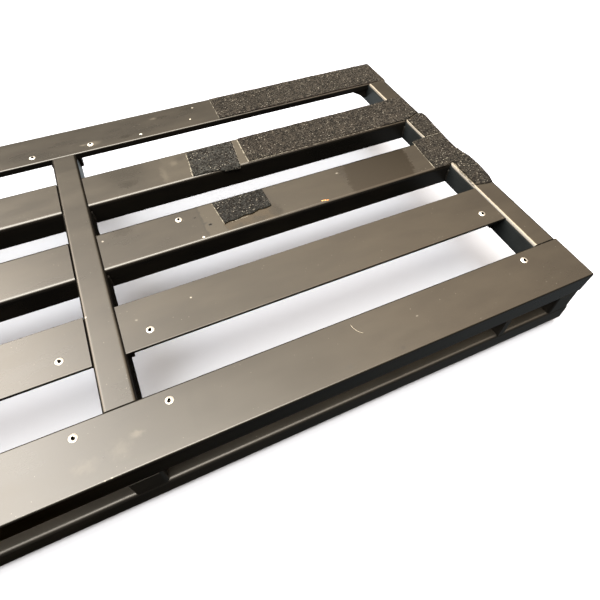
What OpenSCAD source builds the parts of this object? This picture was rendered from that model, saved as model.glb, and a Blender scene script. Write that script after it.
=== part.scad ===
// Slatted pedalboard: a sloping two-bay deck of welded aluminium tube and
// channel on a front and a rear underframe, with riveted clips, rubber feet
// and pieces of loop tape on the deck.
//
// Row frame: X to the right, Y to the rear, Z up, millimetres. The origin is
// on the floor, midway between the sides and midway between front and rear.
// Deck frame: origin on the deck's front top edge, Y up the slope, Z = 0 on
// the deck's top face.

/* [Board] */
// Overall width, left to right
board_w = 810; // [500:0.1:1000]
// Overall depth, front to rear, measured level
board_d = 406.4; // [380:0.1:460]
// Height of the deck's front top edge above the floor
front_h = 74; // [66:1:110]
// Angle at which the deck rises towards the rear, in degrees
slope = 3; // [1:0.5:6]

/* [Deck] */
// Front-to-rear width of each slat
slat_w = 48; // [40:1:50]
// Height of the deck tubes
tube_h = 24.5; // [20:0.5:28]
// Width of the side rails and of the centre bar
rail_w = 25.4; // [20:0.1:30]
// Wall thickness of tubes and channels
wall = 2; // [1.6:0.1:2.5]
// Outer corner radius of the tubes
tube_r = 3.2; // [1:0.1:3.4]
// Outer corner radius of the front and rear slats, which are channels
channel_r = 1.6; // [1:0.1:2]
// Depth of the turned-down inner lip on the front and rear slats
lip_h = 6.5; // [5:0.5:9]
// Thickness of the flat plate slats
plate_t = 3; // [2:0.5:4]
// Front edge of the plate slat, up the slope from the deck's front edge
plate_y = 88; // [84:0.5:92]
// Front edge of the third slat
third_y = 178; // [174:0.5:182]
// Front edge of the fourth slat
fourth_y = 267.5; // [262:0.5:272]

/* [Underframe] */
// Height of the lower rails
lower_h = 21; // [16:1:26]
// Front-to-rear width of the lower rails and posts
lower_w = 25.4; // [20:0.1:30]
// Depth of the rear legs, which lean forward
leg_d = 11; // [8:0.5:14]
// Angle of the rear legs above level, in degrees
leg_rise = 32; // [28:1:45]
// Width of the thin uprights in the front windows
rib_w = 6; // [4:0.5:10]
// Distance of each thin upright's middle from the board's middle
rib_x = 322.5; // [250:0.5:350]

/* [Fittings] */
// Thickness of the clip and gusset plate
clip_t = 3; // [2:0.5:4]
// Reach of a clip's flange along the slat
clip_reach = 32; // [28:1:40]
// Height of a clip's leg down the rail
clip_leg = 18; // [12:1:19]
// Length of a clip, front to rear
clip_len = 30; // [20:1:31]
// Rivet head diameter
rivet_head_d = 6.4; // [5:0.1:8]
// Rivet shank diameter
rivet_d = 3.2; // [3:0.1:4]
// Diameter of the hole that the mandrel leaves in a rivet
mandrel_d = 2.2; // [1.6:0.1:2.4]
// Rubber foot diameter
foot_d = 22; // [18:1:24]
// Rubber foot height
foot_h = 6; // [4:0.5:10]
// Thickness of the loop tape
tape_t = 1.6; // [1:0.1:2.5]

/* [Hidden] */
$fn = 48;
eps = 0.01;

coat = "#2b2724";
coat_inside = "#1f1d1b";
alloy = "#c9c9c6";
loop_black = "#24242a";

// The rear slat's web leans back with the slope, so the deck is a little
// shorter than board_d, and its lowest rear corner is the rearmost point.
deck_len = (board_d - tube_h * sin(slope)) / cos(slope);
rear_y = deck_len - slat_w;
half_w = board_w / 2;
half_d = board_d / 2;
bar_side = rail_w / 2;
rail_side = half_w - rail_w;
bay_len = rail_side - bar_side;
frame_front = -half_d + tube_h * sin(slope);
lower_top = foot_h + lower_h;
plug_wall = 2;
plug_depth = 12;
weld_gap = 0.2;
leg_set_in = 3;

// Rivets in the right bay: from the centre bar, from the side rail, up the slope
front_rivets = [20.6, 20.7, 38];
plate_rivets = [21.9, 17.4, 102.3];
rear_rivets = [17.8, 19.1, 369];
spare_rivet = [bar_side + 75.5, 213.6];

// Where each clip starts, up the slope
front_clip_y = slat_w - wall - clip_len - weld_gap;
plate_clip_y = plate_y + (slat_w - clip_len) / 2;
gusset_y = rear_y + wall + weld_gap;
rear_clip_y = gusset_y + clip_t;
gusset_reach = 23;
gusset_leg = 17;

// Loop tape outlines in the deck frame, as it was cut by hand
strip_x = bar_side + 166;
patch_x = bar_side + 107;
third_end_x = bar_side + 347.5;
rail_tape_front = 137;
rail_tape_rear = 230;

// ---- shared shapes -------------------------------------------------------

module on_deck() translate([0, -half_d, front_h]) rotate([slope, 0, 0]) children();

// A pair on both sides of the board's middle plane
module both_sides() {
    children();
    mirror([1, 0, 0]) children();
}

// Flat outline w by h with its corner at the origin and round corners of radius r
module round_box(w, h, r) {
    translate([r, 0]) square([w - 2 * r, h]);
    translate([0, r]) square([w, h - 2 * r]);
    for (x = [r, w - r], y = [r, h - r]) translate([x, y]) circle(r);
}

module tube_outline(w, h, r) difference() {
    round_box(w, h, r);
    translate([wall, wall]) square([w - 2 * wall, h - 2 * wall]);
}

// Extrudes an outline along X, its first axis along Y and its second along Z
module along_x(length) rotate([90, 0, 90]) linear_extrude(length) children();

// Extrudes an outline along Y, its first axis along X and its second along Z
module along_y(length) translate([0, length, 0]) rotate([90, 0, 0]) linear_extrude(length) children();

module rivet_hole(x, y) translate([x, y, -12]) cylinder(h = 24, d = rivet_d);

// The two rivet holes at the ends of one slat in the right bay
module bay_rivet_holes(r) {
    rivet_hole(bar_side + r[0], r[2]);
    rivet_hole(rail_side - r[1], r[2]);
}

// ---- deck ----------------------------------------------------------------

// Outline of the front slat: top wall, tall front web and short rear lip.
// The rear slat is its mirror image.
module channel_outline() difference() {
    translate([0, -tube_h]) round_box(slat_w, tube_h, channel_r);
    translate([wall, -tube_h - eps]) square([slat_w - 2 * wall, tube_h - wall + eps]);
    translate([wall, -tube_h - eps]) square([slat_w, tube_h - lip_h + eps]);
}

// The channel with its ends closed down to the depth of the lip
module channel_slat() {
    translate([-half_w, 0, 0]) along_x(board_w) channel_outline();
    both_sides() translate([half_w - wall, wall, -lip_h])
        cube([wall, slat_w - 2 * wall, lip_h - wall]);
}

module front_slat() color(coat) on_deck() difference() {
    channel_slat();
    both_sides() bay_rivet_holes(front_rivets);
}

module rear_slat() color(coat) on_deck() difference() {
    translate([0, deck_len, 0]) mirror([0, 1, 0]) channel_slat();
    both_sides() bay_rivet_holes(rear_rivets);
}

// A tube that runs the whole depth, coped at both ends to pass below the slats
module deck_rail(x) color(coat) on_deck() difference() {
    translate([x, wall, -tube_h]) along_y(deck_len - 2 * wall) tube_outline(rail_w, tube_h, tube_r);
    for (y = [-1, rear_y])
        translate([x - 1, y, -lip_h]) cube([rail_w + 2, slat_w + 1, lip_h + 1]);
}

module side_rail_left() deck_rail(-half_w);
module side_rail_right() deck_rail(rail_side);
module centre_bar() deck_rail(-bar_side);

// A slat of the right bay, welded between the centre bar and the side rail
module tube_slat(y) translate([bar_side, y, -tube_h])
    along_x(bay_len) tube_outline(slat_w, tube_h, tube_r);

module third_slat_left() color(coat) on_deck() mirror([1, 0, 0]) tube_slat(third_y);
module third_slat_right() color(coat) on_deck() difference() {
    tube_slat(third_y);
    translate([spare_rivet[0], spare_rivet[1], -wall - 1]) cylinder(h = wall + 2, d = rivet_d);
}
module fourth_slat_left() color(coat) on_deck() mirror([1, 0, 0]) tube_slat(fourth_y);
module fourth_slat_right() color(coat) on_deck() tube_slat(fourth_y);

module plate_slat() on_deck() difference() {
    translate([bar_side, plate_y, -plate_t]) along_x(bay_len) round_box(slat_w, plate_t, 0.6);
    bay_rivet_holes(plate_rivets);
}
module plate_slat_left() color(coat) mirror([1, 0, 0]) plate_slat();
module plate_slat_right() color(coat) plate_slat();

// ---- clips, gussets and rivets -------------------------------------------

// Angle clip: a flange below the slat and a leg against the rail's side. The
// flange points along +X from the origin, and top is the flange's upper face.
module angle_clip(y, top) translate([0, y, top]) {
    translate([0, 0, -clip_t]) cube([clip_reach, clip_len, clip_t]);
    translate([0, 0, -clip_leg]) cube([clip_t, clip_len, clip_leg]);
}

// The two clips of one slat in the right bay, drilled for its rivets
module bay_clips(y, top, r) difference() {
    union() {
        translate([bar_side, 0, 0]) angle_clip(y, top);
        translate([rail_side, 0, 0]) mirror([1, 0, 0]) angle_clip(y, top);
    }
    bay_rivet_holes(r);
}

module front_slat_clips() color(coat_inside) on_deck() both_sides()
    bay_clips(front_clip_y, -wall, front_rivets);
module plate_slat_clips() color(coat_inside) on_deck() both_sides()
    bay_clips(plate_clip_y, -plate_t, plate_rivets);
module rear_slat_clips() color(coat_inside) on_deck() both_sides()
    bay_clips(rear_clip_y, -wall, rear_rivets);

// Triangular web plates below the rear slat's lip, against the side rails
module rear_gussets() color(coat_inside) on_deck() both_sides()
    translate([rail_side, gusset_y, -wall]) along_y(clip_t)
        polygon([[0, 0], [-gusset_reach, 0], [-gusset_reach, -lip_h + wall], [0, -gusset_leg]]);

// Blind rivet with a hollow domed head; its collar grips below the sheet
module rivet(x, y, grip) translate([x, y, 0]) rotate_extrude() difference() {
    union() {
        intersection() {
            translate([0, -rivet_head_d * 0.55]) circle(rivet_head_d * 0.75);
            square([rivet_head_d / 2, rivet_head_d]);
        }
        translate([0, -grip]) square([rivet_d / 2, grip + eps]);
        translate([0, -grip - 2.4]) square([rivet_d * 0.7, 2.4]);
    }
    translate([-rivet_head_d, -grip - 3]) square([rivet_head_d + mandrel_d / 2, grip + 12]);
}

module bay_rivets(r, grip) {
    rivet(bar_side + r[0], r[2], grip);
    rivet(rail_side - r[1], r[2], grip);
}

module deck_rivets() color(alloy) on_deck() {
    both_sides() {
        bay_rivets(front_rivets, wall + clip_t);
        bay_rivets(plate_rivets, plate_t + clip_t);
        bay_rivets(rear_rivets, wall + clip_t);
    }
    rivet(spare_rivet[0], spare_rivet[1], wall);
}

// ---- underframe ----------------------------------------------------------

// Lower rail, front face at y, with a screw hole for each foot
foot_x = half_w - 22;
module lower_rail(y) color(coat) difference() {
    translate([-half_w + plug_wall, y, foot_h])
        along_x(board_w - 2 * plug_wall) tube_outline(lower_w, lower_h, tube_r);
    both_sides() translate([foot_x, y + lower_w / 2, foot_h - 1]) cylinder(h = wall + 2, d = 4);
}
module front_lower_rail() lower_rail(frame_front);
module rear_lower_rail() lower_rail(half_d - lower_w);

// All the room above the underside of the deck's tubes
module above_deck_tubes() on_deck()
    translate([-board_w, -board_d, -tube_h]) cube([2 * board_w, 3 * board_d, 2 * front_h]);

// Upright tube from the front lower rail to the underside of the deck's rails
module front_post(x) color(coat) difference() {
    translate([x, frame_front, lower_top]) linear_extrude(front_h) tube_outline(rail_w, lower_w, tube_r);
    above_deck_tubes();
}
module front_post_left() front_post(-half_w);
module front_post_centre() front_post(-bar_side);
module front_post_right() front_post(rail_side);

// Tube that leans forward from the rear lower rail to the same underside
leg_foot_y = half_d - leg_set_in - leg_d / sin(leg_rise);
module rear_leg(x) color(coat) difference() {
    translate([x, leg_foot_y, lower_top]) rotate([90 - leg_rise, 0, 0])
        translate([0, 0, -leg_d * 2]) linear_extrude(board_d / 2) tube_outline(rail_w, leg_d, tube_r);
    translate([-board_w, 0, -lower_top]) cube([2 * board_w, board_d, 2 * lower_top]);
    above_deck_tubes();
}
module rear_leg_left() rear_leg(-half_w);
module rear_leg_centre() rear_leg(-bar_side);
module rear_leg_right() rear_leg(rail_side);

// Thin uprights that divide the front windows
rib_depth = 14;
module front_window_ribs() color(coat) difference() {
    both_sides() translate([rib_x - rib_w / 2, frame_front, lower_top]) cube([rib_w, rib_depth, front_h]);
    above_deck_tubes();
}

// Push-in plugs for the open ends of both lower rails
module lower_rail_plug(y) translate([half_w, y, foot_h]) {
    translate([-plug_wall, 0, 0]) along_x(plug_wall) round_box(lower_w, lower_h, tube_r);
    translate([-plug_wall - plug_depth, wall, wall]) difference() {
        cube([plug_depth, lower_w - 2 * wall, lower_h - 2 * wall]);
        translate([-1, 1.5, 1.5])
            cube([plug_depth + 1, lower_w - 2 * wall - 3, lower_h - 2 * wall - 3]);
    }
}
module lower_rail_caps() color("#1c1c1c") both_sides() {
    lower_rail_plug(frame_front);
    lower_rail_plug(half_d - lower_w);
}

// ---- feet ----------------------------------------------------------------

screw_head_d = 7.6;
screw_head_h = 2.4;
screw_d = 3.8;
foot_seat = 3;

module at_feet() both_sides() for (y = [frame_front, half_d - lower_w])
    translate([foot_x, y + lower_w / 2, 0]) children();

// Turned profile: slight taper, a round lower rim and a recess for the screw
module rubber_feet() color("#161616") at_feet() rotate_extrude() difference() {
    union() {
        polygon([[0, 0], [foot_d / 2 - 2.5, 0], [foot_d / 2 - 1, 1.5], [foot_d / 2, foot_h], [0, foot_h]]);
        intersection() {
            translate([foot_d / 2 - 2.5, 1.5]) circle(1.5);
            square([foot_d / 2, foot_h]);
        }
    }
    translate([0, -1]) square([screw_head_d / 2 + 1, foot_seat + 1]);
    square([screw_d / 2, foot_h + 1]);
}

module foot_screws() color("silver") at_feet() translate([0, 0, foot_seat]) difference() {
    union() {
        translate([0, 0, -screw_head_h + 0.8]) cylinder(h = screw_head_h - 0.8, d = screw_head_d);
        translate([0, 0, -screw_head_h]) cylinder(h = 0.8, d1 = screw_head_d - 1.6, d2 = screw_head_d);
        cylinder(h = foot_h - foot_seat + wall + 5, d = screw_d);
    }
    for (a = [0, 90]) rotate([0, 0, a]) translate([-2, -0.5, -screw_head_h - 1]) cube([4, 1, 2.2]);
}

// ---- loop tape -----------------------------------------------------------

module tape(outline) color(loop_black) on_deck() linear_extrude(tape_t) polygon(outline);

// Covers the rear slat from strip_x to the right edge
module tape_rear_strip() tape([
    [strip_x, rear_y + 1], [half_w, rear_y], [half_w, deck_len - 0.5], [strip_x, deck_len - 1]
]);

// Separate piece beside the fourth slat's strip, laid a little askew
module tape_fourth_patch() tape([
    [patch_x, fourth_y + 2.5], [patch_x + 50, fourth_y + 0.3],
    [patch_x + 56, fourth_y + slat_w - 1.5], [patch_x + 4, fourth_y + slat_w - 3.5]
]);

// Covers the fourth slat and the side rail beyond it
module tape_fourth_strip() tape([
    [strip_x + 3, fourth_y + 0.5], [half_w, fourth_y],
    [half_w, fourth_y + slat_w], [strip_x + 4.5, fourth_y + slat_w - 0.5]
]);

// Remnant on the rear part of the third slat, torn off along its front
module tape_third_patch() tape([
    [patch_x + 7.5, third_y + 12.5], [patch_x + 57.5, third_y + 18.5],
    [patch_x + 57, third_y + slat_w - 2], [patch_x + 4.5, third_y + slat_w - 1.5]
]);

// L-shaped piece over the third slat's right end and down the side rail
module tape_third_end() tape([
    [third_end_x, third_y], [rail_side, third_y], [rail_side + 4.5, third_y - 8],
    [rail_side + 4.5, rail_tape_front + 3], [half_w, rail_tape_front], [half_w, rail_tape_rear],
    [rail_side, rail_tape_rear], [rail_side, third_y + slat_w], [third_end_x + 4, third_y + slat_w]
]);

// Short piece on the side rail between the third and fourth slats
module tape_rail_piece() tape([
    [rail_side, rail_tape_rear + 0.5], [half_w, rail_tape_rear + 0.5],
    [half_w, fourth_y - 0.5], [rail_side, fourth_y - 0.5]
]);

front_slat();
rear_slat();
side_rail_left();
side_rail_right();
centre_bar();
plate_slat_left();
plate_slat_right();
third_slat_left();
third_slat_right();
fourth_slat_left();
fourth_slat_right();
front_lower_rail();
rear_lower_rail();
front_post_left();
front_post_centre();
front_post_right();
rear_leg_left();
rear_leg_centre();
rear_leg_right();
front_window_ribs();
front_slat_clips();
plate_slat_clips();
rear_slat_clips();
rear_gussets();
deck_rivets();
lower_rail_caps();
rubber_feet();
foot_screws();
tape_rear_strip();
tape_fourth_patch();
tape_fourth_strip();
tape_third_patch();
tape_third_end();
tape_rail_piece();
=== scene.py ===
"""Looks for the pedalboard: coated frame, rivets, feet and hand-cut loop tape.

Lengths are metres in the row frame. The deck frame has its origin on the middle of
the deck's front top edge, X to the right, Y up the slope and Z out of the deck.
"""

import math
import random

import bmesh
import bpy
from mathutils import Matrix, Vector, geometry, noise


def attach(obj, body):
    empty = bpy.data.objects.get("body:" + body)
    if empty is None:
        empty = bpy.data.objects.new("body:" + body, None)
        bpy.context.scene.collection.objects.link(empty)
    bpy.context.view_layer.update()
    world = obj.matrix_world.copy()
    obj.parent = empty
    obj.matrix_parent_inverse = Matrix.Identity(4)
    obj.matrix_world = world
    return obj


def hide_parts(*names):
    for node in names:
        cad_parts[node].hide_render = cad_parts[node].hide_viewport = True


MM = 0.001

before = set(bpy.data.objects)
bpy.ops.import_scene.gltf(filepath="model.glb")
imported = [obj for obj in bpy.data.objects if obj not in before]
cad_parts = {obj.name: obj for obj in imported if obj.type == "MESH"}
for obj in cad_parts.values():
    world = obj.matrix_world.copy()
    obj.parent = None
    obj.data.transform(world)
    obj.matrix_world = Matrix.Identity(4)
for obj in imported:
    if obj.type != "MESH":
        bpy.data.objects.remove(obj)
bpy.context.view_layer.update()

# The deck plane, as the CAD source has it
HALF_W = 405 * MM
HALF_D = 203.2 * MM
FRONT_H = 74 * MM
SLOPE = math.radians(3)
SLAT_W = 48 * MM
RAIL_SIDE = 379.6 * MM
BAR_SIDE = 12.7 * MM
TUBE_H = 24.5 * MM
TUBE_R = 3.2 * MM
THIRD_Y = 178 * MM
FOURTH_Y = 267.5 * MM
DECK = Matrix.Translation((0, -HALF_D, FRONT_H)) @ Matrix.Rotation(SLOPE, 4, "X")
DECK_NORMAL = (0.0, -math.sin(SLOPE), math.cos(SLOPE))


# ---- camera -----------------------------------------------------------------

CAMERA_AT = (64.3 * MM, -111.1 * MM, 297.0 * MM)
CAMERA_AZIMUTH = math.radians(25.48)
CAMERA_DOWN = math.radians(54.50)
CAMERA_ROLL = math.radians(1.208)
CAMERA_LENS = 26.12


def make_camera():
    """Close over the front edge, looking down at the right bay."""
    sin_a, cos_a = math.sin(CAMERA_AZIMUTH), math.cos(CAMERA_AZIMUTH)
    sin_e, cos_e = math.sin(CAMERA_DOWN), math.cos(CAMERA_DOWN)
    level = Vector((cos_a, -sin_a, 0))
    up = Vector((sin_e * sin_a, sin_e * cos_a, cos_e))
    forward = Vector((cos_e * sin_a, cos_e * cos_a, -sin_e))
    right = level * math.cos(CAMERA_ROLL) + up * math.sin(CAMERA_ROLL)
    up = right.cross(forward)
    axes = Matrix((right, up, -forward)).transposed().to_4x4()
    data = bpy.data.cameras.new("camera")
    data.lens = CAMERA_LENS
    data.sensor_width = 36
    data.clip_start = 0.01
    camera = bpy.data.objects.new("camera", data)
    bpy.context.scene.collection.objects.link(camera)
    camera.matrix_world = DECK @ Matrix.Translation(CAMERA_AT) @ axes
    bpy.context.scene.camera = camera


# ---- node helpers -----------------------------------------------------------

# The noise that makes marks' outlines wander: features per metre, and what the noise, which
# mostly stays near its middle, is multiplied by
WANDER_SCALE = 260
WANDER_GAIN = 4
BLOB_LEAN = 0.22


class Nodes:
    """A short way to build one material's node tree."""

    def __init__(self, tree):
        self.tree = tree
        tree.nodes.clear()

    def add(self, kind, **settings):
        node = self.tree.nodes.new(kind)
        for name, value in settings.items():
            setattr(node, name, value)
        return node

    def put(self, value, socket):
        """Sets a socket to a value, or links another socket to it."""
        if isinstance(value, bpy.types.NodeSocket):
            self.tree.links.new(value, socket)
        else:
            socket.default_value = value

    def math(self, operation, a, b=0.0):
        node = self.add("ShaderNodeMath", operation=operation)
        self.put(a, node.inputs[0])
        self.put(b, node.inputs[1])
        return node.outputs[0]

    def vector(self, operation, a, b):
        node = self.add("ShaderNodeVectorMath", operation=operation)
        self.put(a, node.inputs[0])
        self.put(b, node.inputs[1])
        return node.outputs[1 if operation == "DOT_PRODUCT" else 0]

    def span(self, value, low, high, to_low=0.0, to_high=1.0):
        """Maps low..high to to_low..to_high, smoothly and clamped."""
        node = self.add("ShaderNodeMapRange", interpolation_type="SMOOTHSTEP")
        self.put(value, node.inputs["Value"])
        node.inputs["From Min"].default_value = low
        node.inputs["From Max"].default_value = high
        node.inputs["To Min"].default_value = to_low
        node.inputs["To Max"].default_value = to_high
        return node.outputs[0]

    def noise(self, scale, detail=4.0, roughness=0.55, stretch=None):
        """Noise with a scale in features per metre."""
        where = self.place()
        if stretch:
            where = self.vector("MULTIPLY", where, stretch)
        node = self.add("ShaderNodeTexNoise")
        self.put(where, node.inputs["Vector"])
        node.inputs["Scale"].default_value = scale
        node.inputs["Detail"].default_value = detail
        node.inputs["Roughness"].default_value = roughness
        return node.outputs["Fac"]

    def cells(self, scale):
        """Distance to the nearest of points scattered at a scale in points per metre."""
        node = self.add("ShaderNodeTexVoronoi")
        self.put(self.place(), node.inputs["Vector"])
        node.inputs["Scale"].default_value = scale
        return node.outputs["Distance"]

    def mix(self, factor, a, b):
        node = self.add("ShaderNodeMix", data_type="RGBA")
        self.put(factor, node.inputs[0])
        self.put(a, node.inputs[6])
        self.put(b, node.inputs[7])
        return node.outputs[2]

    def place(self):
        """Object coordinates, which are the row frame for every piece here."""
        if not hasattr(self, "_place"):
            self._place = self.add("ShaderNodeTexCoord").outputs["Object"]
        return self._place

    def parts(self, vector):
        node = self.add("ShaderNodeSeparateXYZ")
        self.put(vector, node.inputs[0])
        return node.outputs

    def on_deck(self):
        """Deck frame X and Y of the point that is shaded."""
        if not hasattr(self, "_deck"):
            x = self.parts(self.place())[0]
            from_edge = self.vector("SUBTRACT", self.place(), (0, -HALF_D, FRONT_H))
            y = self.vector("DOT_PRODUCT", from_edge, (0, math.cos(SLOPE), math.sin(SLOPE)))
            self._deck = (x, y)
        return self._deck

    def warped(self, amount):
        """Deck frame X and Y, pushed about by noise so that drawn outlines look worn."""
        x, y = self.on_deck()
        noise = self.add("ShaderNodeTexNoise")
        self.put(self.place(), noise.inputs["Vector"])
        noise.inputs["Scale"].default_value = WANDER_SCALE
        noise.inputs["Detail"].default_value = 4
        drift = self.parts(noise.outputs["Color"])[:2]
        push = [self.math("MULTIPLY", self.math("SUBTRACT", d, 0.5), amount * WANDER_GAIN) for d in drift]
        return self.math("ADD", x, push[0]), self.math("ADD", y, push[1])

    def patch(self, x, y, low, high, soft):
        """1 inside the box from low to high, falling to 0 over a soft border."""
        edges = []
        for value, start, end in ((x, low[0], high[0]), (y, low[1], high[1])):
            edges.append(self.span(value, start - soft, start + soft))
            edges.append(self.span(value, end + soft, end - soft))
        mask = edges[0]
        for edge in edges[1:]:
            mask = self.math("MULTIPLY", mask, edge)
        return mask

    def spot(self, x, y, centre, radii, soft):
        """1 inside an ellipse, falling to 0 over a soft border that is a share of its size."""
        across = self.math("DIVIDE", self.math("SUBTRACT", x, centre[0]), radii[0])
        along = self.math("DIVIDE", self.math("SUBTRACT", y, centre[1]), radii[1])
        reach = self.math("ADD", self.math("MULTIPLY", across, across), self.math("MULTIPLY", along, along))
        return self.span(self.math("SQRT", reach), 1 + soft, 1 - soft)

    def blob(self, x, y, centre, radii, soft):
        """Like spot, but a rounded box that leans to the right as it goes up the slope."""
        lean = self.math("MULTIPLY", self.math("SUBTRACT", y, centre[1]), BLOB_LEAN)
        x = self.math("SUBTRACT", x, lean)
        across = self.math("DIVIDE", self.math("SUBTRACT", x, centre[0]), radii[0])
        along = self.math("DIVIDE", self.math("SUBTRACT", y, centre[1]), radii[1])
        fourth = [self.math("POWER", self.math("ABSOLUTE", v), 4.0) for v in (across, along)]
        reach = self.math("POWER", self.math("ADD", *fourth), 0.25)
        return self.span(reach, 1 + soft, 1 - soft)

    def normal(self):
        return self.add("ShaderNodeNewGeometry").outputs["Normal"]

    def facing(self):
        """1 where the surface faces out of the deck, 0 where it is at right angles to it."""
        return self.vector("DOT_PRODUCT", self.normal(), DECK_NORMAL)

    def bump(self, height, distance, strength, after=None):
        node = self.add("ShaderNodeBump")
        node.inputs["Strength"].default_value = strength
        node.inputs["Distance"].default_value = distance
        self.put(height, node.inputs["Height"])
        if after:
            self.put(after, node.inputs["Normal"])
        return node.outputs[0]

    def finish(self, colour, roughness, normal=None, metallic=0.0, **sockets):
        shader = self.add("ShaderNodeBsdfPrincipled")
        self.put(colour, shader.inputs["Base Color"])
        self.put(roughness, shader.inputs["Roughness"])
        shader.inputs["Metallic"].default_value = metallic
        if normal:
            self.put(normal, shader.inputs["Normal"])
        for name, value in sockets.items():
            shader.inputs[name.replace("_", " ")].default_value = value
        out = self.add("ShaderNodeOutputMaterial")
        self.tree.links.new(shader.outputs[0], out.inputs[0])


def new_material(name):
    material = bpy.data.materials.new(name)
    material.use_nodes = True
    return material, Nodes(material.node_tree)


# ---- materials --------------------------------------------------------------

COAT_DARK = (0.0042, 0.0041, 0.0039, 1)
COAT_BROWN = (0.0065, 0.0058, 0.0048, 1)
# Dust film on top; also the colour of a painted light, the broad lighter patch on the fourth slat
DUST_FILM_AND_PAINTED_LIGHT = (0.034, 0.030, 0.0222, 1)
SPECK = (0.42, 0.40, 0.36, 1)
RESIDUE = (0.014, 0.010, 0.005, 1)
# Stains; also the colour of a painted shade, the broad darker patch on the front slat
STAIN_AND_PAINTED_SHADE = (0.0030, 0.0026, 0.0016, 1)
PALE = (0.115, 0.105, 0.085, 1)
CHALK = (0.55, 0.53, 0.48, 1)
# painted highlight: pale colour for a line along the right rail's inner top edge
PAINTED_EDGE_HIGHLIGHT = (0.24, 0.22, 0.185, 1)
# painted light: a slate tone standing in for the light that falls on faces turned left
PAINTED_LEFT_LIGHT = (0.0150, 0.0185, 0.0210, 1)
COAT_ROUGHNESS = 0.25
EDGE_POLISH = 0.15
SPECK_STRENGTH = 0.32

# Marks in deck millimetres: shape, its numbers, soft border, wander, colour, strength, roughness
# shift. A "patch" is (x low, y low, x high, y high); a "spot" and a "blob" are (x, y, x radius,
# y radius), with a soft border that is a share of their size. The first mark of the fourth slat is
# a painted light, a broad lighter patch, and the first mark of the front slat is a painted shade, a
# broad darker patch; both are there for the slat's overall brightness.
THIRD_MARKS = [
    ("blob", (304, 202, 38, 31), 0.05, 2.2, STAIN_AND_PAINTED_SHADE, 1.0, -0.17),
    ("patch", (180, 170, 262, 232), 5, 3, DUST_FILM_AND_PAINTED_LIGHT, 0.16, 0.02),
    ("patch", (109, 170, 126, 232), 1.0, 1.2, DUST_FILM_AND_PAINTED_LIGHT, 0.38, 0.04),
    ("patch", (107.3, 182, 109.0, 224), 0.8, 1.5, STAIN_AND_PAINTED_SHADE, 0.60, 0.10),
    ("patch", (126, 174, 180, 197), 1.4, 3.0, RESIDUE, 1.0, -0.09),
    ("spot", (140, 182, 7, 3), 0.8, 4.0, STAIN_AND_PAINTED_SHADE, 0.8, -0.05),
    ("spot", (161, 184, 8, 4), 0.8, 4.0, STAIN_AND_PAINTED_SHADE, 0.8, -0.05),
    ("spot", (179, 188, 6, 9), 0.5, 2.4, STAIN_AND_PAINTED_SHADE, 0.85, -0.04),
    ("spot", (114.1, 195.4, 2.0, 1.7), 0.3, 0.7, STAIN_AND_PAINTED_SHADE, 1.0, 0.3),
    ("spot", (109.5, 199, 3.2, 1.2), 0.6, 1.2, STAIN_AND_PAINTED_SHADE, 0.7, 0.1),
    ("spot", (103.0, 209.8, 3.4, 1.4), 0.7, 1.2, STAIN_AND_PAINTED_SHADE, 0.6, 0.1),
    ("spot", (35.7, 218.9, 9, 4.5), 0.7, 2.0, STAIN_AND_PAINTED_SHADE, 0.8, -0.06),
    ("spot", (103.3, 182.1, 1.1, 1.0), 0.4, 0.3, CHALK, 0.9, 0.2),
    ("spot", (17.0, 214.1, 1.0, 0.9), 0.5, 0.3, CHALK, 0.3, 0.2),
    ("spot", (129.8, 224.6, 2.2, 0.8), 0.5, 0.5, CHALK, 0.8, 0.2),
    ("spot", (259.4, 214.3, 1.2, 0.7), 0.7, 0.4, CHALK, 0.22, 0.2),
]
FOURTH_MARKS = [
    # painted light: a broad lighter patch that raises the fourth slat's overall brightness
    ("patch", (72, 255, 420, 330), 10, 3, DUST_FILM_AND_PAINTED_LIGHT, 0.13, 0.0),
    ("patch", (94.5, 262, 120, 320), 1.5, 1.5, DUST_FILM_AND_PAINTED_LIGHT, 0.20, 0.03),
    ("spot", (92.4, 284, 2.4, 12), 0.9, 2.2, PALE, 0.16, 0.03),
    ("spot", (105.3, 299.1, 2.8, 3.0), 0.9, 1.8, PALE, 0.17, 0.03),
    ("spot", (114.7, 305.5, 5.5, 4.5), 0.7, 1.5, STAIN_AND_PAINTED_SHADE, 0.55, 0.0),
    ("spot", (55.2, 284.4, 8, 4.5), 0.8, 2.0, STAIN_AND_PAINTED_SHADE, 0.9, -0.06),
    ("spot", (53, 300, 20, 16), 0.8, 4.0, STAIN_AND_PAINTED_SHADE, 0.6, -0.04),
    ("patch", (170, 262, 183, 320), 1.0, 0.8, DUST_FILM_AND_PAINTED_LIGHT, 0.45, 0.05),
]
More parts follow.
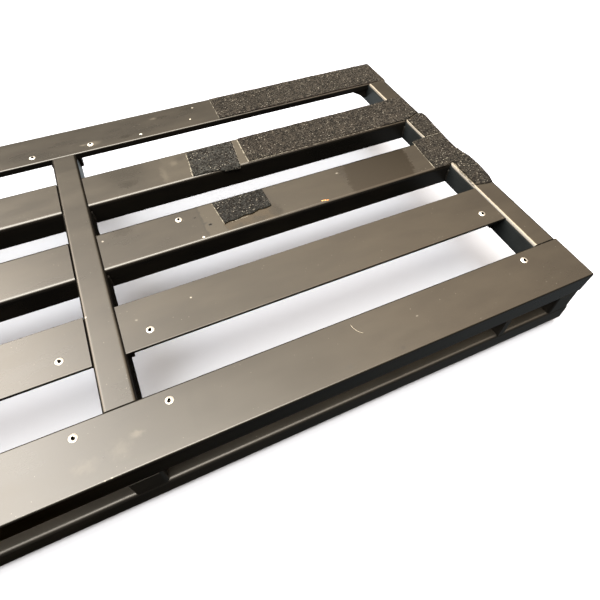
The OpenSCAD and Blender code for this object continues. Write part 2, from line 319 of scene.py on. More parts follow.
FRONT_MARKS = [
    # painted shade: a broad darker patch that lowers the front slat's overall brightness
    ("patch", (-70, -20, 170, 70), 40, 3, STAIN_AND_PAINTED_SHADE, 0.55, 0.0),
    ("spot", (7.1, 23.2, 3.8, 2.0), 0.9, 1.8, PALE, 0.22, 0.04),
    ("spot", (-5.4, 17.3, 6.0, 5.0), 0.9, 3.0, PALE, 0.11, 0.03),
    ("spot", (-28.9, 15.3, 6.5, 3.4), 0.9, 2.8, PALE, 0.12, 0.03),
    ("patch", (44.5, 10, 49.5, 44), 2.5, 1.6, STAIN_AND_PAINTED_SHADE, 0.30, 0.0),
    ("patch", (56, 8, 64, 40), 4.0, 1.6, STAIN_AND_PAINTED_SHADE, 0.22, 0.0),
    ("spot", (210.4, 5.6, 2.0, 1.4), 0.6, 0.8, STAIN_AND_PAINTED_SHADE, 0.75, 0.1),
    ("spot", (223.3, 12.5, 9, 2.6), 0.9, 2.0, STAIN_AND_PAINTED_SHADE, 0.25, 0.0),
    ("spot", (164.2, 8.0, 3.0, 1.6), 0.9, 1.2, STAIN_AND_PAINTED_SHADE, 0.40, 0.1),
    ("spot", (236.7, 26.5, 1.0, 0.6), 0.7, 0.4, CHALK, 0.13, 0.1),
    ("spot", (-14.0, 1.0, 0.7, 0.5), 0.5, 0.2, CHALK, 0.35, 0.1),
    ("spot", (-18.5, 0.8, 0.6, 0.5), 0.5, 0.2, CHALK, 0.35, 0.1),
]
PLATE_MARKS = [
    ("spot", (72.8, 119.8, 0.8, 0.7), 0.6, 0.2, CHALK, 0.35, 0.1),
    ("spot", (26.6, 115.6, 0.9, 0.7), 0.7, 0.3, CHALK, 0.12, 0.1),
    ("spot", (132.5, 93.6, 6.5, 0.8), 0.7, 1.0, STAIN_AND_PAINTED_SHADE, 0.55, 0.0),
    ("spot", (200, 118, 40, 5.0), 0.9, 6.0, STAIN_AND_PAINTED_SHADE, 0.16, 0.0),
]
REAR_MARKS = [
    ("spot", (33.0, 369.6, 7, 3.4), 0.8, 1.8, PALE, 0.20, 0.04),
    ("spot", (22.5, 370.4, 2.6, 1.1), 0.7, 0.9, PALE, 0.35, 0.06),
    ("spot", (85.7, 365.8, 1.5, 1.2), 0.3, 0.3, CHALK, 0.95, 0.1),
    ("spot", (69.2, 368.0, 6.5, 3.0), 0.8, 2.0, STAIN_AND_PAINTED_SHADE, 0.8, -0.05),
    ("spot", (145.5, 372.5, 1.0, 0.8), 0.3, 0.3, CHALK, 0.9, 0.1),
    ("spot", (154.5, 394.8, 1.2, 0.9), 0.5, 0.4, CHALK, 0.5, 0.1),
    ("spot", (105.4, 390.3, 3.4, 1.6), 0.8, 1.2, PALE, 0.30, 0.05),
    ("spot", (114.8, 389.6, 8, 2.4), 0.8, 2.0, STAIN_AND_PAINTED_SHADE, 0.6, -0.03),
    ("spot", (148.0, 395.5, 7, 2.0), 0.8, 1.6, STAIN_AND_PAINTED_SHADE, 0.5, -0.03),
]
RAIL_HIGHLIGHT_MARKS = [
    # painted highlight: a pale line along the right rail's inner top edge, where a reflection runs
    ("patch", (380.6, 48, 382.9, 358), 0.5, 0.35, PAINTED_EDGE_HIGHLIGHT, 0.75, 0.04),
]
BAR_MARKS = [
    ("spot", (4.6, 131.8, 5.5, 9), 0.8, 2.0, STAIN_AND_PAINTED_SHADE, 0.22, 0.0),
    ("spot", (-10.3, 134.9, 0.9, 0.8), 0.5, 0.2, CHALK, 0.4, 0.1),
]


def draw_marks(n, marks, colour, rough, up):
    """Lays stains, residue and specks on a coated surface that faces up."""
    for shape, numbers, soft, wander, tone, strength, shift in marks:
        x, y = n.warped(wander * MM)
        numbers = [value * MM for value in numbers]
        if shape == "patch":
            mask = n.patch(x, y, numbers[:2], numbers[2:], soft * MM)
        elif shape == "blob":
            mask = n.blob(x, y, numbers[:2], numbers[2:], soft)
        else:
            mask = n.spot(x, y, numbers[:2], numbers[2:], soft)
        mask = n.math("MULTIPLY", mask, up)
        colour = n.mix(n.math("MULTIPLY", mask, strength), colour, tone)
        rough = n.math("ADD", rough, n.math("MULTIPLY", mask, shift))
    return colour, rough


def make_coat(name, marks=(), dull=0.0, left_light_paint=0.0):
    """Satin coating with a hand-worn film on top, smudges, fine specks and given marks. Its
    rounded edges are rubbed smoother; dull makes the whole of it rougher; the last argument is
    the strength of a painted light, a slate tone on the side that faces left."""
    material, n = new_material(name)
    smudge = n.noise(9, 5, 0.6, stretch=(0.5, 1.6, 1))
    cloud = n.noise(55, 4, 0.6, stretch=(0.35, 1, 1))
    up = n.span(n.facing(), 0.80, 0.99)
    film = n.math("MULTIPLY", up, n.span(smudge, 0.30, 0.72, 0.30, 0.85))
    film = n.math("MULTIPLY", film, n.span(cloud, 0.2, 0.8, 0.24, 0.42))
    colour = n.mix(n.span(cloud, 0.3, 0.7), COAT_DARK, COAT_BROWN)
    colour = n.mix(film, colour, DUST_FILM_AND_PAINTED_LIGHT)
    # painted light: faces that turn left get a slate tone in place of the light falling on them
    left = n.span(n.vector("DOT_PRODUCT", n.normal(), (-1, 0, 0)), 0.80, 0.99)
    left = n.math("MULTIPLY", left, n.span(cloud, 0.2, 0.8, 0.7 * left_light_paint, left_light_paint))
    colour = n.mix(left, colour, PAINTED_LEFT_LIGHT)
    rough = n.math("ADD", n.span(smudge, 0.3, 0.7, 0.0, 0.05), n.span(cloud, 0.3, 0.7, 0.0, 0.04))
    rough = n.math("ADD", rough, COAT_ROUGHNESS + dull)
    edge = n.math("MULTIPLY", n.span(n.facing(), 0.985, 0.93), n.span(n.facing(), 0.15, 0.35))
    rough = n.math("SUBTRACT", rough, n.math("MULTIPLY", edge, EDGE_POLISH - dull))
    speck = n.math("MULTIPLY", n.span(n.cells(260), 0.085, 0.05), n.span(n.noise(40, 2), 0.52, 0.60))
    speck = n.math("MULTIPLY", speck, up)
    colour = n.mix(n.math("MULTIPLY", speck, SPECK_STRENGTH), colour, SPECK)
    colour, rough = draw_marks(n, marks, colour, rough, up)
    normal = n.bump(n.noise(2600, 2, 0.5), 0.00002, 0.4)
    normal = n.bump(n.noise(190, 3, 0.5), 0.00006, 0.10, after=normal)
    n.finish(colour, rough, normal, IOR=1.5)
    return material


# Rivet centres of the right half in deck millimetres
RIVETS = [(BAR_SIDE / MM + 20.6, 38), (RAIL_SIDE / MM - 20.7, 38), (BAR_SIDE / MM + 21.9, 102.3),
          (RAIL_SIDE / MM - 17.4, 102.3), (BAR_SIDE / MM + 17.8, 369), (RAIL_SIDE / MM - 19.1, 369),
          (BAR_SIDE / MM + 75.5, 213.6)]
# Radius of the painted shade over each mandrel hole, how far it sits off the head's centre towards the
# middle and the front, and its colour
RIVET_HOLE = 1.5 * MM
RIVET_LEAN = (0.35 * MM, 0.80 * MM)
RIVET_HOLE_SHADE = (0.003, 0.003, 0.003, 1)


def make_rivet_metal():
    """Dulled bright head. Painted shade makes the mandrel hole and a ring round it near black, a
    little towards the middle and the front of the head, and also the faces that turn away from the
    deck, such as the shank.
    """
    material, n = new_material("rivet_metal")
    scuff = n.noise(900, 4, 0.7)
    colour = n.mix(n.span(scuff, 0.3, 0.7), (0.46, 0.45, 0.43, 1), (0.80, 0.79, 0.76, 1))
    # painted shade: faces that turn away from the deck, the bore's walls and the shank, go near black
    colour = n.mix(n.span(n.facing(), 0.35, 0.65), RIVET_HOLE_SHADE, colour)
    x, y = n.warped(0.2 * MM)
    x = n.math("ABSOLUTE", x)
    # painted shade: a dark disc over each mandrel hole
    for at in RIVETS:
        centre = (at[0] * MM - RIVET_LEAN[0], at[1] * MM - RIVET_LEAN[1])
        hole = n.spot(x, y, centre, (RIVET_HOLE, RIVET_HOLE), 0.12)
        colour = n.mix(hole, colour, RIVET_HOLE_SHADE)
    rough = n.span(scuff, 0.3, 0.7, 0.46, 0.62)
    n.finish(colour, rough, n.bump(n.noise(1600, 3), 0.00004, 0.6), metallic=1.0)
    return material


def make_plain(name, dark, light, roughness, metallic=0.0):
    """Mottled finish for a small fitting."""
    material, n = new_material(name)
    cloud = n.noise(140, 4, 0.6)
    colour = n.mix(n.span(cloud, 0.3, 0.7), dark, light)
    rough = n.span(n.noise(320, 3), 0.3, 0.7, roughness - 0.06, roughness + 0.08)
    n.finish(colour, rough, n.bump(n.noise(900, 3), 0.00003, 0.6), metallic)
    return material


TAPE_DARK = (0.0030, 0.0029, 0.0028, 1)
TAPE_BROWN = (0.0330, 0.0290, 0.0245, 1)
TAPE_DUSK = (0.0270, 0.0242, 0.0205, 1)
TAPE_GREY = (0.0300, 0.0318, 0.0315, 1)
TAPE_SLATE = (0.0180, 0.0195, 0.0198, 1)
LOOP_DARK = (0.008, 0.0075, 0.007, 1)
LOOP_WORN = (0.090, 0.084, 0.074, 1)
LINT = (0.22, 0.21, 0.185, 1)
GLUE_OLD = (0.180, 0.170, 0.145, 1)
GLUE_DIRTY = (0.030, 0.027, 0.021, 1)


def make_tape_material(name, light):
    """Dusty loops pressed flat: flecks 1 to 2 mm wide over finer fuzz, with stray lint."""
    material, n = new_material(name)
    fleck = n.noise(620, 3, 0.75)
    clump = n.noise(260, 3, 0.6)
    fuzz = n.cells(1700)
    tone = n.math("ADD", n.math("MULTIPLY", fleck, 0.65), n.math("MULTIPLY", clump, 0.35))
    colour = n.mix(n.span(tone, 0.45, 0.57), TAPE_DARK, light)
    colour = n.mix(n.span(n.noise(70, 3, 0.6), 0.35, 0.65, 0.0, 0.35), colour, TAPE_DARK)
    colour = n.mix(n.span(fuzz, 0.35, 0.75, 0.0, 0.45), colour, TAPE_DARK)
    lint = n.math("MULTIPLY", n.span(n.cells(330), 0.20, 0.12), n.span(n.noise(120, 2), 0.42, 0.50))
    colour = n.mix(n.math("MULTIPLY", lint, 0.8), colour, LINT)
    normal = n.bump(fuzz, 0.00025, 0.7)
    normal = n.bump(fleck, 0.0004, 0.6, after=normal)
    n.finish(colour, 0.95, normal, Specular_IOR_Level=0.12)
    return material


def make_loop_material():
    """Single worn loops, some pale with dust and some still dark."""
    material, n = new_material("loop_fibre")
    tone = n.noise(620, 2, 0.6)
    colour = n.mix(n.span(tone, 0.42, 0.60), LOOP_DARK, LOOP_WORN)
    n.finish(colour, 0.7, n.bump(n.noise(4000, 2), 0.00003, 0.5), Specular_IOR_Level=0.25)
    return material


def make_glue_material():
    """Old adhesive, cream where it is clean and brown where dirt sticks to it."""
    material, n = new_material("old_adhesive")
    colour = n.mix(n.span(n.noise(420, 4, 0.7), 0.40, 0.58), GLUE_OLD, GLUE_DIRTY)
    n.finish(colour, 0.6, n.bump(n.noise(900, 3), 0.0001, 0.7), Specular_IOR_Level=0.3)
    return material


# ---- light and floor --------------------------------------------------------

# Level of the ceiling's light against the height of the direction, 0 at the horizon
CEILING_STOPS = [(0.0, 0.0), (0.30, 0.02), (0.50, 0.25), (0.56, 0.5), (0.64, 2.1), (0.72, 3.7),
                 (0.83, 4.8), (0.92, 5.1), (1.0, 5.3)]
LEFT_TINT = (1.0, 0.94, 0.86, 1)
MIDDLE_TINT = (1.0, 0.85, 0.67, 1)
RIGHT_TINT = (1.0, 0.76, 0.53, 1)
LEFT_GAIN = 0.7
LAMP_TINT = (1.0, 0.93, 0.80, 1)
LAMP_FROM = (-0.10, -0.11, 0.99)
LAMP_LEVEL = 15.0
WINDOW_FROM = (-0.62, 0.40, 0.68)
WINDOW_LEVEL = 11.0
ROOM_TINT = (0.88, 0.97, 1.0, 1)


def make_world():
    """A soft warm ceiling that fades towards the horizon, whiter and brighter to the left, with
    a broad lamp overhead, a window to the left and a dim room below the horizon."""
    world = bpy.data.worlds.new("studio")
    bpy.context.scene.world = world
    world.use_nodes = True
    n = Nodes(world.node_tree)
    toward = n.add("ShaderNodeTexCoord").outputs["Generated"]
    across, along, height = n.parts(toward)
    ceiling = n.add("ShaderNodeFloatCurve")
    curve = ceiling.mapping.curves[0]
    top = CEILING_STOPS[-1][1]
    while len(curve.points) < len(CEILING_STOPS):
        curve.points.new(0.5, 0.5)
    for point, (at, level) in zip(curve.points, CEILING_STOPS):
        point.location = (at, level / top)
        point.handle_type = "VECTOR"
    ceiling.mapping.update()
    n.put(height, ceiling.inputs["Value"])
    left = n.math("MULTIPLY", n.span(across, 0.12, -0.35), n.span(height, 0.58, 0.90))
    right = n.span(across, 0.15, 0.60)
    lamp = n.span(n.vector("DOT_PRODUCT", toward, LAMP_FROM), 0.92, 0.96)
    window = n.span(n.vector("DOT_PRODUCT", toward, WINDOW_FROM), 0.88, 0.955)
    below = n.span(height, 0.02, -0.02)
    tint = n.mix(left, n.mix(right, MIDDLE_TINT, RIGHT_TINT), LEFT_TINT)
    level = n.math("MULTIPLY", ceiling.outputs[0], top)
    level = n.math("MULTIPLY", level, n.math("ADD", n.math("MULTIPLY", left, LEFT_GAIN), 1.0))
    level = n.math("MULTIPLY", level, n.span(right, 0.0, 1.0, 1.0, 0.82))
    level = n.math("ADD", level, n.math("MULTIPLY", lamp, LAMP_LEVEL))
    level = n.math("ADD", level, n.math("MULTIPLY", window, WINDOW_LEVEL))
    room = n.math("ADD", n.span(across, -0.5, 0.7, 0.04, 0.16), n.span(along, 0.0, 0.5, 0.0, 0.45))
    room = n.math("MULTIPLY", below, room)
    background = n.add("ShaderNodeBackground")
    n.put(n.mix(below, n.mix(lamp, tint, LAMP_TINT), ROOM_TINT), background.inputs[0])
    n.put(n.math("ADD", level, room), background.inputs[1])
    out = n.add("ShaderNodeOutputWorld")
    n.tree.links.new(background.outputs[0], out.inputs[0])


def add_stage(name, verts, faces, shades):
    """A matt piece of the studio, which is not part of the board."""
    mesh = bpy.data.meshes.new(name)
    mesh.from_pydata(verts, [], faces)
    mesh.shade_smooth()
    piece = bpy.data.objects.new(name, mesh)
    bpy.context.scene.collection.objects.link(piece)
    material, n = new_material(name + "_paint")
    n.finish(n.mix(n.noise(3, 3), *shades), 0.9, Specular_IOR_Level=0.0)
    mesh.materials.append(material)
    return piece


# Radius and height of the floor's sweep
SWEEP = [(3.6, 0.0), (4.4, 0.0), (4.8, 0.04), (5.1, 0.16), (5.35, 0.45), (5.5, 1.0), (5.5, 7.0)]
SWEEP_SIDES = 64
FLOOR_SHADES = ((0.31, 0.34, 0.41, 1), (0.34, 0.37, 0.44, 1))
SHADE_LEVEL = -2 * MM
SHADE_SHADES = ((0.001, 0.001, 0.001, 1), (0.002, 0.002, 0.002, 1))


def make_floor():
    """Pale floor that sweeps up to a wall far off. The board's gloss sees the dim room below
    the horizon, and its own shade."""
    verts, faces = [(0.0, 0.0, 0.0)], []
    for radius, height in SWEEP:
        for k in range(SWEEP_SIDES):
            turn = math.tau * k / SWEEP_SIDES
            verts.append((radius * math.cos(turn), radius * math.sin(turn), height))
    for k in range(SWEEP_SIDES):
        after = (k + 1) % SWEEP_SIDES
        faces.append((0, 1 + k, 1 + after))
        for row in range(len(SWEEP) - 1):
            low = 1 + row * SWEEP_SIDES
            high = low + SWEEP_SIDES
            faces.append((low + k, high + k, high + after, low + after))
    floor = add_stage("floor", verts, faces, FLOOR_SHADES)
    floor.visible_glossy = False
    floor.visible_diffuse = False
    floor.visible_shadow = False
    corners = [(-HALF_W, -HALF_D), (HALF_W, -HALF_D), (HALF_W, HALF_D), (-HALF_W, HALF_D)]
    under = [(x, y, SHADE_LEVEL) for x, y in corners]
    shade = add_stage("under_shade", under, [(0, 1, 2, 3)], SHADE_SHADES)
    shade.visible_camera = False
    shade.visible_shadow = False


# ---- mesh helpers -----------------------------------------------------------

def add_piece(name, mesh, material):
    """Adds a piece of the board that rides on its one body."""
    mesh.materials.append(material)
    piece = bpy.data.objects.new(name, mesh)
    bpy.context.scene.collection.objects.link(piece)
    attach(piece, "root")
    return piece


def fine_outline(corners, step, wobble, seed):
    """Points along a hand-cut outline, a step apart, a little wavy."""
    points = []
    for i, corner in enumerate(corners):
        a, b = Vector(corner), Vector(corners[(i + 1) % len(corners)])
        count = max(1, round((b - a).length / step))
        along = (b - a).normalized()
        side = Vector((along.y, -along.x))
        for k in range(count):
            p = a + (b - a) * k / count
            ease = min(1.0, k / 4, (count - k) / 4)
            wave = noise.noise(Vector((p.x * 55, p.y * 55, seed)))
            wave += 0.6 * noise.noise(Vector((p.x * 330, p.y * 330, seed)))
            points.append(p + side * wave * wobble * ease)
    return points


def inside(point, outline):
    """Whether a flat point is inside an outline."""
    hit = False
    j = len(outline) - 1
    for i, a in enumerate(outline):
        b = outline[j]
        if (a.y > point.y) != (b.y > point.y):
            if point.x < (b.x - a.x) * (point.y - a.y) / (b.y - a.y) + a.x:
                hit = not hit
        j = i
    return hit


def fill_outline(outline, step):
    """Triangles that fill an outline, with points a step apart inside it."""
    low = Vector((min(p.x for p in outline), min(p.y for p in outline)))
    high = Vector((max(p.x for p in outline), max(p.y for p in outline)))
    points = list(outline)
    rows = int((high.y - low.y) / (step * 0.87)) + 1
    columns = int((high.x - low.x) / step) + 1
    grid = {}
    for p in outline:
        grid.setdefault((int(p.x / step), int(p.y / step)), []).append(p)
    for r in range(rows):
        for c in range(columns):
            p = Vector((low.x + (c + 0.5 * (r % 2)) * step, low.y + r * step * 0.87))
            cell = (int(p.x / step), int(p.y / step))
            near = [q for dx in (-1, 0, 1) for dy in (-1, 0, 1)
                    for q in grid.get((cell[0] + dx, cell[1] + dy), [])]
            if any((p - q).length < step * 0.55 for q in near):
                continue
            if inside(p, outline):
                points.append(p)
    ring = [(i, (i + 1) % len(outline)) for i in range(len(outline))]
    filled = geometry.delaunay_2d_cdt(points, ring, [], 1, 1e-7)
    return filled[0], filled[2]


class Bed:
    """What a piece of tape lies on: the deck plane, bent down past some edges."""

    def __init__(self, front=None, right=None, droop=60):
        self.front = front
        self.right = right
        self.radius = TUBE_R
        self.droop = math.radians(droop)

    def past(self, distance):
        """(offset, drop, turn) for a flat distance past the start of the rounding."""
        if distance <= 0:
            return distance, 0.0, 0.0
        turn = min(distance / self.radius, self.droop)
        beyond = max(0.0, distance - self.droop * self.radius)
        offset = self.radius * math.sin(turn) + beyond * math.cos(turn)
        drop = self.radius * (1 - math.cos(turn)) + beyond * math.sin(turn)
        return offset, drop, turn

    def lay(self, x, y):
        """Deck frame place and normal of the flat point (x, y)."""
        drop, tilt_x, tilt_y = 0.0, 0.0, 0.0
        if self.right is not None and x > self.right - self.radius:
            offset, down, turn = self.past(x - (self.right - self.radius))
            x, drop, tilt_x = self.right - self.radius + offset, drop + down, turn
        if self.front is not None and y < self.front + self.radius:
            offset, down, turn = self.past(self.front + self.radius - y)
            y, drop, tilt_y = self.front + self.radius - offset, drop + down, -turn
        normal = Vector((math.sin(tilt_x), math.sin(tilt_y), math.cos(tilt_x) * math.cos(tilt_y)))
        return Vector((x, y, -drop)), normal.normalized()


TAPE_STEP = 1.0 * MM
TAPE_WOBBLE = 0.5 * MM
TAPE_THICK = 1.15 * MM
TAPE_GAP = 0.08 * MM
CUT_EDGE = 0.72


def pile_height(x, y, seed):
    """Uneven height of the loops at a flat point."""
    coarse = noise.noise(Vector((x * 180, y * 180, seed)))
    middle = noise.noise(Vector((x * 480, y * 480, seed + 3)))
    fine = noise.noise(Vector((x * 1100, y * 1100, seed + 7)))
    return (0.07 * coarse + 0.06 * middle + 0.09 * fine) * MM


LOOP_SPACING = 1.9 * MM
LOOP_TURNS = (0.0, 0.33, 0.67, 1.0)


def make_loops(name, outline, bed, seed):
    """Raised loops of the pile, each a thin three-sided strand in a low arch."""
    rng = random.Random(seed)
    low = Vector((min(p.x for p in outline), min(p.y for p in outline)))
    high = Vector((max(p.x for p in outline), max(p.y for p in outline)))
    count = int((high.x - low.x) * (high.y - low.y) / LOOP_SPACING ** 2)
    verts, faces = [], []
    for _ in range(count):
        centre = Vector((rng.uniform(low.x, high.x), rng.uniform(low.y, high.y)))
        if not inside(centre, outline):
            continue
        place, normal = bed.lay(centre.x, centre.y)
        turn = rng.uniform(0, math.pi)
        along = Vector((math.cos(turn), math.sin(turn), 0))
        along = (along - normal * along.dot(normal)).normalized()
        side = normal.cross(along)
        reach = rng.uniform(0.45, 0.95) * MM
        rise = rng.uniform(0.15, 0.42) * MM
        thick = rng.uniform(0.10, 0.17) * MM
        bend = rng.uniform(-0.35, 0.35) * MM
        first = len(verts)
        for t in LOOP_TURNS:
            arch = math.sin(math.pi * t)
            middle = place + along * reach * (2 * t - 1) + side * bend * arch
            middle += normal * (TAPE_THICK * 0.97 + rise * arch)
            for corner in (side * thick, normal * thick * 1.4, -side * thick):
                verts.append(DECK @ (middle + corner))
        for k in range(len(LOOP_TURNS) - 1):
            a = first + 3 * k
            for j in range(3):
                faces.append((a + j, a + (j + 1) % 3, a + 3 + (j + 1) % 3, a + 3 + j))
        end = first + 3 * (len(LOOP_TURNS) - 1)
        faces += [(first + 2, first + 1, first), (end, end + 1, end + 2)]
    mesh = bpy.data.meshes.new(name)
    mesh.from_pydata(verts, [], faces)
    mesh.shade_smooth()
    return add_piece(name, mesh, bpy.data.materials["loop_fibre"])


RIBBON_STEP = 0.8 * MM


def make_ribbon(name, path, width, material, seed, lift=0.0):
    """Thin uneven bead of old adhesive along a path of deck millimetres."""
    rng = random.Random(seed)
    points = []
    for a, b in zip(path, path[1:]):
        a, b = Vector(a) * MM, Vector(b) * MM
        steps = max(1, round((b - a).length / RIBBON_STEP))
        points += [a + (b - a) * k / steps for k in range(steps)]
    points.append(Vector(path[-1]) * MM)
    verts, faces = [], []
    for i, p in enumerate(points):
        ahead = points[min(i + 1, len(points) - 1)] - points[max(i - 1, 0)]
        side = Vector((ahead.y, -ahead.x)).normalized()
        ease = min(1.0, 0.25 + i / 3, 0.25 + (len(points) - 1 - i) / 3)
        half = width * MM / 2 * ease * rng.uniform(0.55, 1.25)
        shift = rng.uniform(-0.18, 0.18) * width * MM
        rise = (0.16 + 0.14 * rng.random()) * MM
        ring = [(-half, 0.0), (-half * 0.6, rise), (half * 0.6, rise * 0.9), (half, 0.0)]
        for across, up in ring:
            q = p + side * (across + shift)
            verts.append(DECK @ Vector((q.x, q.y, lift * MM + up)))
    for i in range(len(points) - 1):
        a = 4 * i
        for j in range(4):
            faces.append((a + j, a + (j + 1) % 4, a + 4 + (j + 1) % 4, a + 4 + j))
    last = 4 * (len(points) - 1)
    faces += [(3, 2, 1, 0), (last, last + 1, last + 2, last + 3)]
    mesh = bpy.data.meshes.new(name)
    mesh.from_pydata(verts, [], faces)
    bm = bmesh.new()
    bm.from_mesh(mesh)
    bmesh.ops.recalc_face_normals(bm, faces=bm.faces)
    bm.to_mesh(mesh)
    bm.free()
    mesh.shade_smooth()
    return add_piece(name, mesh, material)


def make_tape(name, corners, bed, material, seed):
    """A cut piece of loop tape, closed below, that lies on its bed."""
    outline = fine_outline([(x * MM, y * MM) for x, y in corners], TAPE_STEP, TAPE_WOBBLE, seed)
    flat, faces = fill_outline(outline, TAPE_STEP)
    count = len(flat)
    rim = len(outline)
    top, bottom = [], []
    for i, p in enumerate(flat):
        place, normal = bed.lay(p.x, p.y)
        edge = CUT_EDGE if i < rim else 1.0
        top.append(place + normal * (TAPE_THICK * edge + pile_height(p.x, p.y, seed)))
        bottom.append(place + normal * TAPE_GAP)
    mesh = bpy.data.meshes.new(name)
    up = [tuple(f) for f in faces]
    down = [tuple(count + i for i in reversed(f)) for f in faces]
    wall = [(i, count + i, count + (i + 1) % rim, (i + 1) % rim) for i in range(rim)]
    mesh.from_pydata([DECK @ p for p in top + bottom], [], up + down + wall)
    bm = bmesh.new()
    bm.from_mesh(mesh)
    bmesh.ops.recalc_face_normals(bm, faces=bm.faces)
    bm.to_mesh(mesh)
    bm.free()
    mesh.shade_smooth()
    piece = add_piece(name, mesh, material)
    loops = make_loops(name + "_loops", outline, bed, seed)
    area = abs(sum(a.x * b.y - b.x * a.y for a, b in zip(outline, outline[1:] + outline[:1]))) / 2
    width = max(p.x for p in outline) - min(p.x for p in outline)
    length = max(p.y for p in outline) - min(p.y for p in outline)
    return piece, loops, (width, length), area


# ---- loop tape --------------------------------------------------------------

# Flat outlines in deck millimetres: node, name, light tone, corners, what it lies on, its bed
TAPES = [
    ("tape_rear_strip", "rear_strip", TAPE_BROWN,
     [(178.0, 359.6), (250, 359.1), (330, 359.5), (398.5, 358.9), (402.6, 404.0), (300, 404.4),
      (179.0, 403.9)],
     ["rear_slat"], Bed()),
    ("tape_fourth_patch", "fourth_patch", TAPE_GREY,
     [(119.7, 269.8), (148.0, 268.6), (154, 266.0), (169.9, 264.6), (173.2, 290), (175.6, 311.6),
      (150, 311.2), (123.4, 309.8)],
     ["fourth_slat_right"], Bed(front=FOURTH_Y, droop=55)),
    ("tape_fourth_strip", "fourth_strip", TAPE_BROWN,
     [(181.6, 269.8), (250, 269.2), (330, 269.6), (381, 268.9), (386, 270.6), (398, 275.4),
      (401.2, 276.4), (399.8, 313.6), (384, 315.6), (378, 313.9), (300, 313.3), (183.2, 312.9)],
     ["fourth_slat_right", "side_rail_right"], Bed()),
    ("tape_third_patch", "third_patch", TAPE_SLATE,
     [(127.2, 190.4), (133, 191.8), (139, 190.9), (147, 193.6), (156, 192.9), (164, 195.8),
      (171, 195.0), (177.3, 196.4), (177.0, 222.6), (150, 223.2), (124.4, 222.8)],
     ["third_slat_right"], Bed()),
    ("tape_third_end", "third_end", TAPE_DUSK,
     [(360.4, 178.6), (372, 178.0), (378, 178.6), (384.6, 180.8), (386.6, 177.0), (385.2, 171),
      (383.7, 163), (385.0, 158.5), (384.0, 152.5), (384.6, 146), (383.4, 139.6), (392, 137.6),
      (402.4, 136.6), (406.0, 146), (408.0, 160), (408.6, 174), (408.0, 183), (404.6, 192),
      (402.4, 202), (402.8, 215), (404.2, 229.6), (380, 230.0), (372, 229.2), (364.0, 228.6),
      (362.0, 205)],
     ["third_slat_right", "side_rail_right"], Bed(right=HALF_W, droop=10)),
    ("tape_rail_piece", "rail_piece", TAPE_DUSK,
     [(382.3, 230.9), (404.4, 230.5), (405.8, 248), (408.2, 268.6), (406.4, 274.6), (400.5, 274.2),
      (388, 268.4), (382.2, 267.4), (381.9, 250)],
     ["side_rail_right"], Bed(right=HALF_W, droop=10)),
]

# Beads of old adhesive: name, path in deck millimetres, width, height above the coat
GLUE_LINES = [
    ("glue_rear_left", [(178.0, 359.0), (179.0, 404.2)], 1.0, 0),
    ("glue_patch_left", [(119.0, 270.2), (121.2, 288), (122.9, 310.2)], 1.9, 0),
    ("glue_patch_right", [(170.6, 266.0), (176.2, 311.4)], 0.6, 0),
    ("glue_strip_left", [(180.9, 268.6), (182.5, 313.6)], 1.7, 0),
    ("glue_strip_front", [(181.5, 269.0), (230, 268.6), (290, 268.9), (345, 268.7)], 0.7, 0.35),
    ("glue_third_left", [(126.6, 190.2), (125.4, 205), (124.0, 222.6)], 1.0, 0),
    ("glue_third_front", [(133, 189.9), (143, 191.0), (152, 191.3)], 0.7, 0),
    ("glue_end_left", [(359.9, 178.4), (361.6, 205), (363.6, 228.6)], 1.1, 0),
    ("glue_rail_inner", [(382.2, 180.6), (383.8, 175.5), (383.0, 168), (382.0, 160), (382.6, 151),
                         (381.6, 145), (381.4, 139)], 1.9, 0),
    ("glue_rail_seam", [(382.6, 230.4), (392, 230.2), (403.5, 230.0)], 0.7, 0.9),
]


def make_tapes():
    """The six tapes, each with its raised loops, and the old adhesive along their cut edges."""
    make_loop_material()
    glue = make_glue_material()
    for seed, (node, name, light, corners, under, bed) in enumerate(TAPES, 11):
        material = make_tape_material(name + "_cloth", light)
        piece, loops, flat, area = make_tape(name, corners, bed, material, seed)
        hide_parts(node)
    for seed, (name, path, width, lift) in enumerate(GLUE_LINES, 31):
        make_ribbon(name, path, width, glue, seed, lift)


# Weld beads: radius, ripple pitch, and in deck millimetres how far the beads' ends stay from the
# slat's top, bottom and corners
WELD_R = 1.3 * MM
WELD_PITCH = 1.6 * MM
WELD_STEP = 0.4 * MM
WELD_SIDES = 10
WELD_TOP = -7.0
WELD_FOOT = 3.4
WELD_UNDER = 0.7
WELD_INSET = 4


def weld_joints():
    """Ends of the beads that join the tube slats to the bar and the rails, deck millimetres."""
    joints = []
    bottom = -TUBE_H / MM
    for front in (THIRD_Y / MM, FOURTH_Y / MM):
        rear = front + SLAT_W / MM
        for x in (-RAIL_SIDE / MM, -BAR_SIDE / MM, BAR_SIDE / MM, RAIL_SIDE / MM):
            joints.append(((x, front, bottom + WELD_FOOT), (x, front, WELD_TOP)))
            joints.append(((x, rear, bottom + WELD_FOOT), (x, rear, WELD_TOP)))
            under = bottom + WELD_UNDER
            joints.append(((x, front + WELD_INSET, under), (x, rear - WELD_INSET, under)))
    return joints


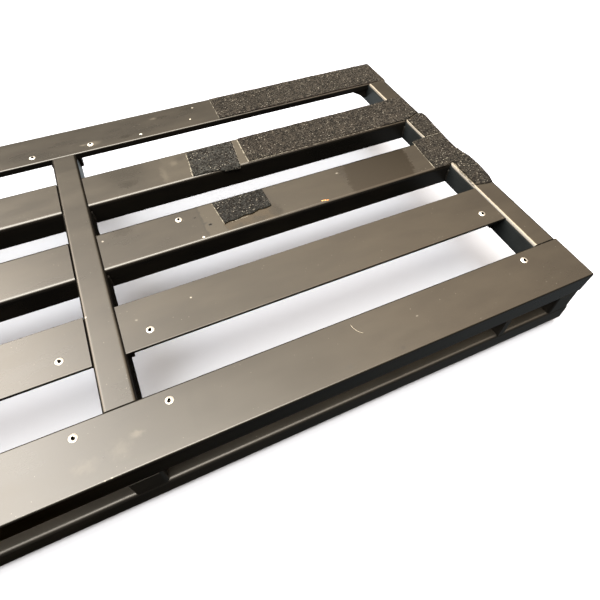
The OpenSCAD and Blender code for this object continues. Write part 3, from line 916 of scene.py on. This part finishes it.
def make_weld_beads():
    """Rippled weld beads below the coating, sunk into the corners that they join."""
    rng = random.Random(51)
    verts, faces = [], []
    for start, end in weld_joints():
        start, end = Vector(start) * MM, Vector(end) * MM
        along = (end - start).normalized()
        side = along.orthogonal().normalized()
        up = along.cross(side)
        steps = round((end - start).length / WELD_STEP)
        phase = rng.uniform(0, math.tau)
        first = len(verts)
        for i in range(steps + 1):
            inner = min(1.0, (min(i, steps - i) + 0.15) / 4.15)
            ease = math.sqrt(1 - (1 - inner) ** 2)
            ripple = 1 + 0.09 * math.sin(math.tau * i * WELD_STEP / WELD_PITCH + phase)
            radius = WELD_R * ease * ripple * rng.uniform(0.97, 1.03)
            centre = start + (end - start) * i / steps
            for k in range(WELD_SIDES):
                turn = math.tau * k / WELD_SIDES
                rim = side * math.cos(turn) + up * math.sin(turn)
                verts.append(DECK @ (centre + rim * radius))
        for i in range(steps):
            low = first + i * WELD_SIDES
            for k in range(WELD_SIDES):
                after = (k + 1) % WELD_SIDES
                faces.append((low + k, low + after, low + WELD_SIDES + after, low + WELD_SIDES + k))
        last = first + steps * WELD_SIDES
        faces.append(tuple(first + k for k in reversed(range(WELD_SIDES))))
        faces.append(tuple(last + k for k in range(WELD_SIDES)))
    mesh = bpy.data.meshes.new("weld_beads")
    mesh.from_pydata(verts, [], faces)
    mesh.shade_smooth()
    add_piece("weld_beads", mesh, make_coat("coat_weld", dull=0.30))


def make_amber_bead():
    """A hard drop of amber adhesive with a small tail on the third slat's front edge."""
    material, n = new_material("amber_adhesive")
    colour = n.mix(n.span(n.noise(700, 3), 0.4, 0.6), (0.40, 0.13, 0.03, 1), (0.62, 0.34, 0.14, 1))
    n.finish(colour, 0.25, n.bump(n.noise(1500, 2), 0.0001, 0.5))
    path = [(225.6, 182.6), (227.5, 182.0), (229.5, 181.7), (233.5, 180.6)]
    make_ribbon("amber_bead", path, 1.7, material, 71)


def make_tar_specks():
    """Two hard black specks of old dirt beside the third slat's patch."""
    material, n = new_material("old_tar")
    colour = n.mix(n.noise(700, 3), (0.0015, 0.0014, 0.0012, 1), (0.006, 0.005, 0.004, 1))
    n.finish(colour, 0.8, n.bump(n.noise(1500, 2), 0.0001, 0.6), Specular_IOR_Level=0.15)
    make_ribbon("tar_speck", [(112.8, 195.1), (114.3, 195.6), (115.9, 195.3)], 2.4, material, 73)
    make_ribbon("tar_crumb", [(102.2, 209.6), (104.0, 210.1)], 0.9, material, 74)


def make_hair():
    """A pale curved hair that lies on the front slat."""
    path = [(182.4, 41.3), (182.9, 37.6), (184.0, 34.6), (185.8, 32.0), (188.1, 30.1)]
    material, n = new_material("pale_fibre")
    n.finish(n.mix(n.noise(300), (0.36, 0.34, 0.28, 1), (0.50, 0.47, 0.40, 1)), 0.5)
    make_ribbon("stray_hair", path, 0.17, material, 72, 0.02)


# ---- scene ------------------------------------------------------------------

PLAIN_DECK = [
    "side_rail_left", "plate_slat_left", "third_slat_left", "fourth_slat_left",
]
UNDERFRAME = [
    "front_lower_rail", "rear_lower_rail", "front_post_left", "front_post_centre",
    "front_post_right", "rear_leg_left", "rear_leg_centre", "rear_leg_right", "front_window_ribs",
]
BRACKETS = ["front_slat_clips", "plate_slat_clips", "rear_slat_clips", "rear_gussets"]
MARKED = {
    "third_slat_right": THIRD_MARKS, "fourth_slat_right": FOURTH_MARKS, "front_slat": FRONT_MARKS,
    "plate_slat_right": PLATE_MARKS, "rear_slat": REAR_MARKS, "centre_bar": BAR_MARKS,
    "side_rail_right": RAIL_HIGHLIGHT_MARKS,
}
# Fittings' nodes, material name, dark and light tone, roughness and metal share
FITTINGS = [
    (BRACKETS, "bracket_paint", (0.008, 0.007, 0.006, 1), (0.014, 0.012, 0.010, 1), 0.5, 0.0),
    (["lower_rail_caps"], "cap_moulding", (0.010, 0.010, 0.010, 1), (0.020, 0.020, 0.020, 1), 0.6, 0.0),
    (["rubber_feet"], "foot_moulding", (0.008, 0.008, 0.008, 1), (0.016, 0.016, 0.016, 1), 0.85, 0.0),
    (["foot_screws"], "screw_metal", (0.35, 0.35, 0.34, 1), (0.60, 0.60, 0.58, 1), 0.35, 1.0),
]
# Strength of the painted light, a slate tone on the side that faces left
LEFT_LIGHT_PAINT = {"side_rail_right": 1.0}


def paint(nodes, material):
    """Gives the named CAD nodes one material."""
    for name in nodes:
        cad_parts[name].data.materials.clear()
        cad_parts[name].data.materials.append(material)


def paint_frame():
    """Materials of every CAD node but the tapes, which Blender's own pieces replace."""
    paint(UNDERFRAME, make_coat("coat_under", dull=0.12))
    paint(PLAIN_DECK, make_coat("coat_plain"))
    for name, marks in MARKED.items():
        paint([name], make_coat("coat_" + name, marks, left_light_paint=LEFT_LIGHT_PAINT.get(name, 0.0)))
    paint(["deck_rivets"], make_rivet_metal())
    for nodes, name, dark, light, roughness, metallic in FITTINGS:
        paint(nodes, make_plain(name, dark, light, roughness, metallic))


def write_sizes():
    bpy.context.view_layer.update()


bpy.context.scene.view_settings.view_transform = "Standard"
make_camera()
make_world()
make_floor()
paint_frame()
make_tapes()
make_amber_bead()
make_hair()
make_tar_specks()
make_weld_beads()
write_sizes()
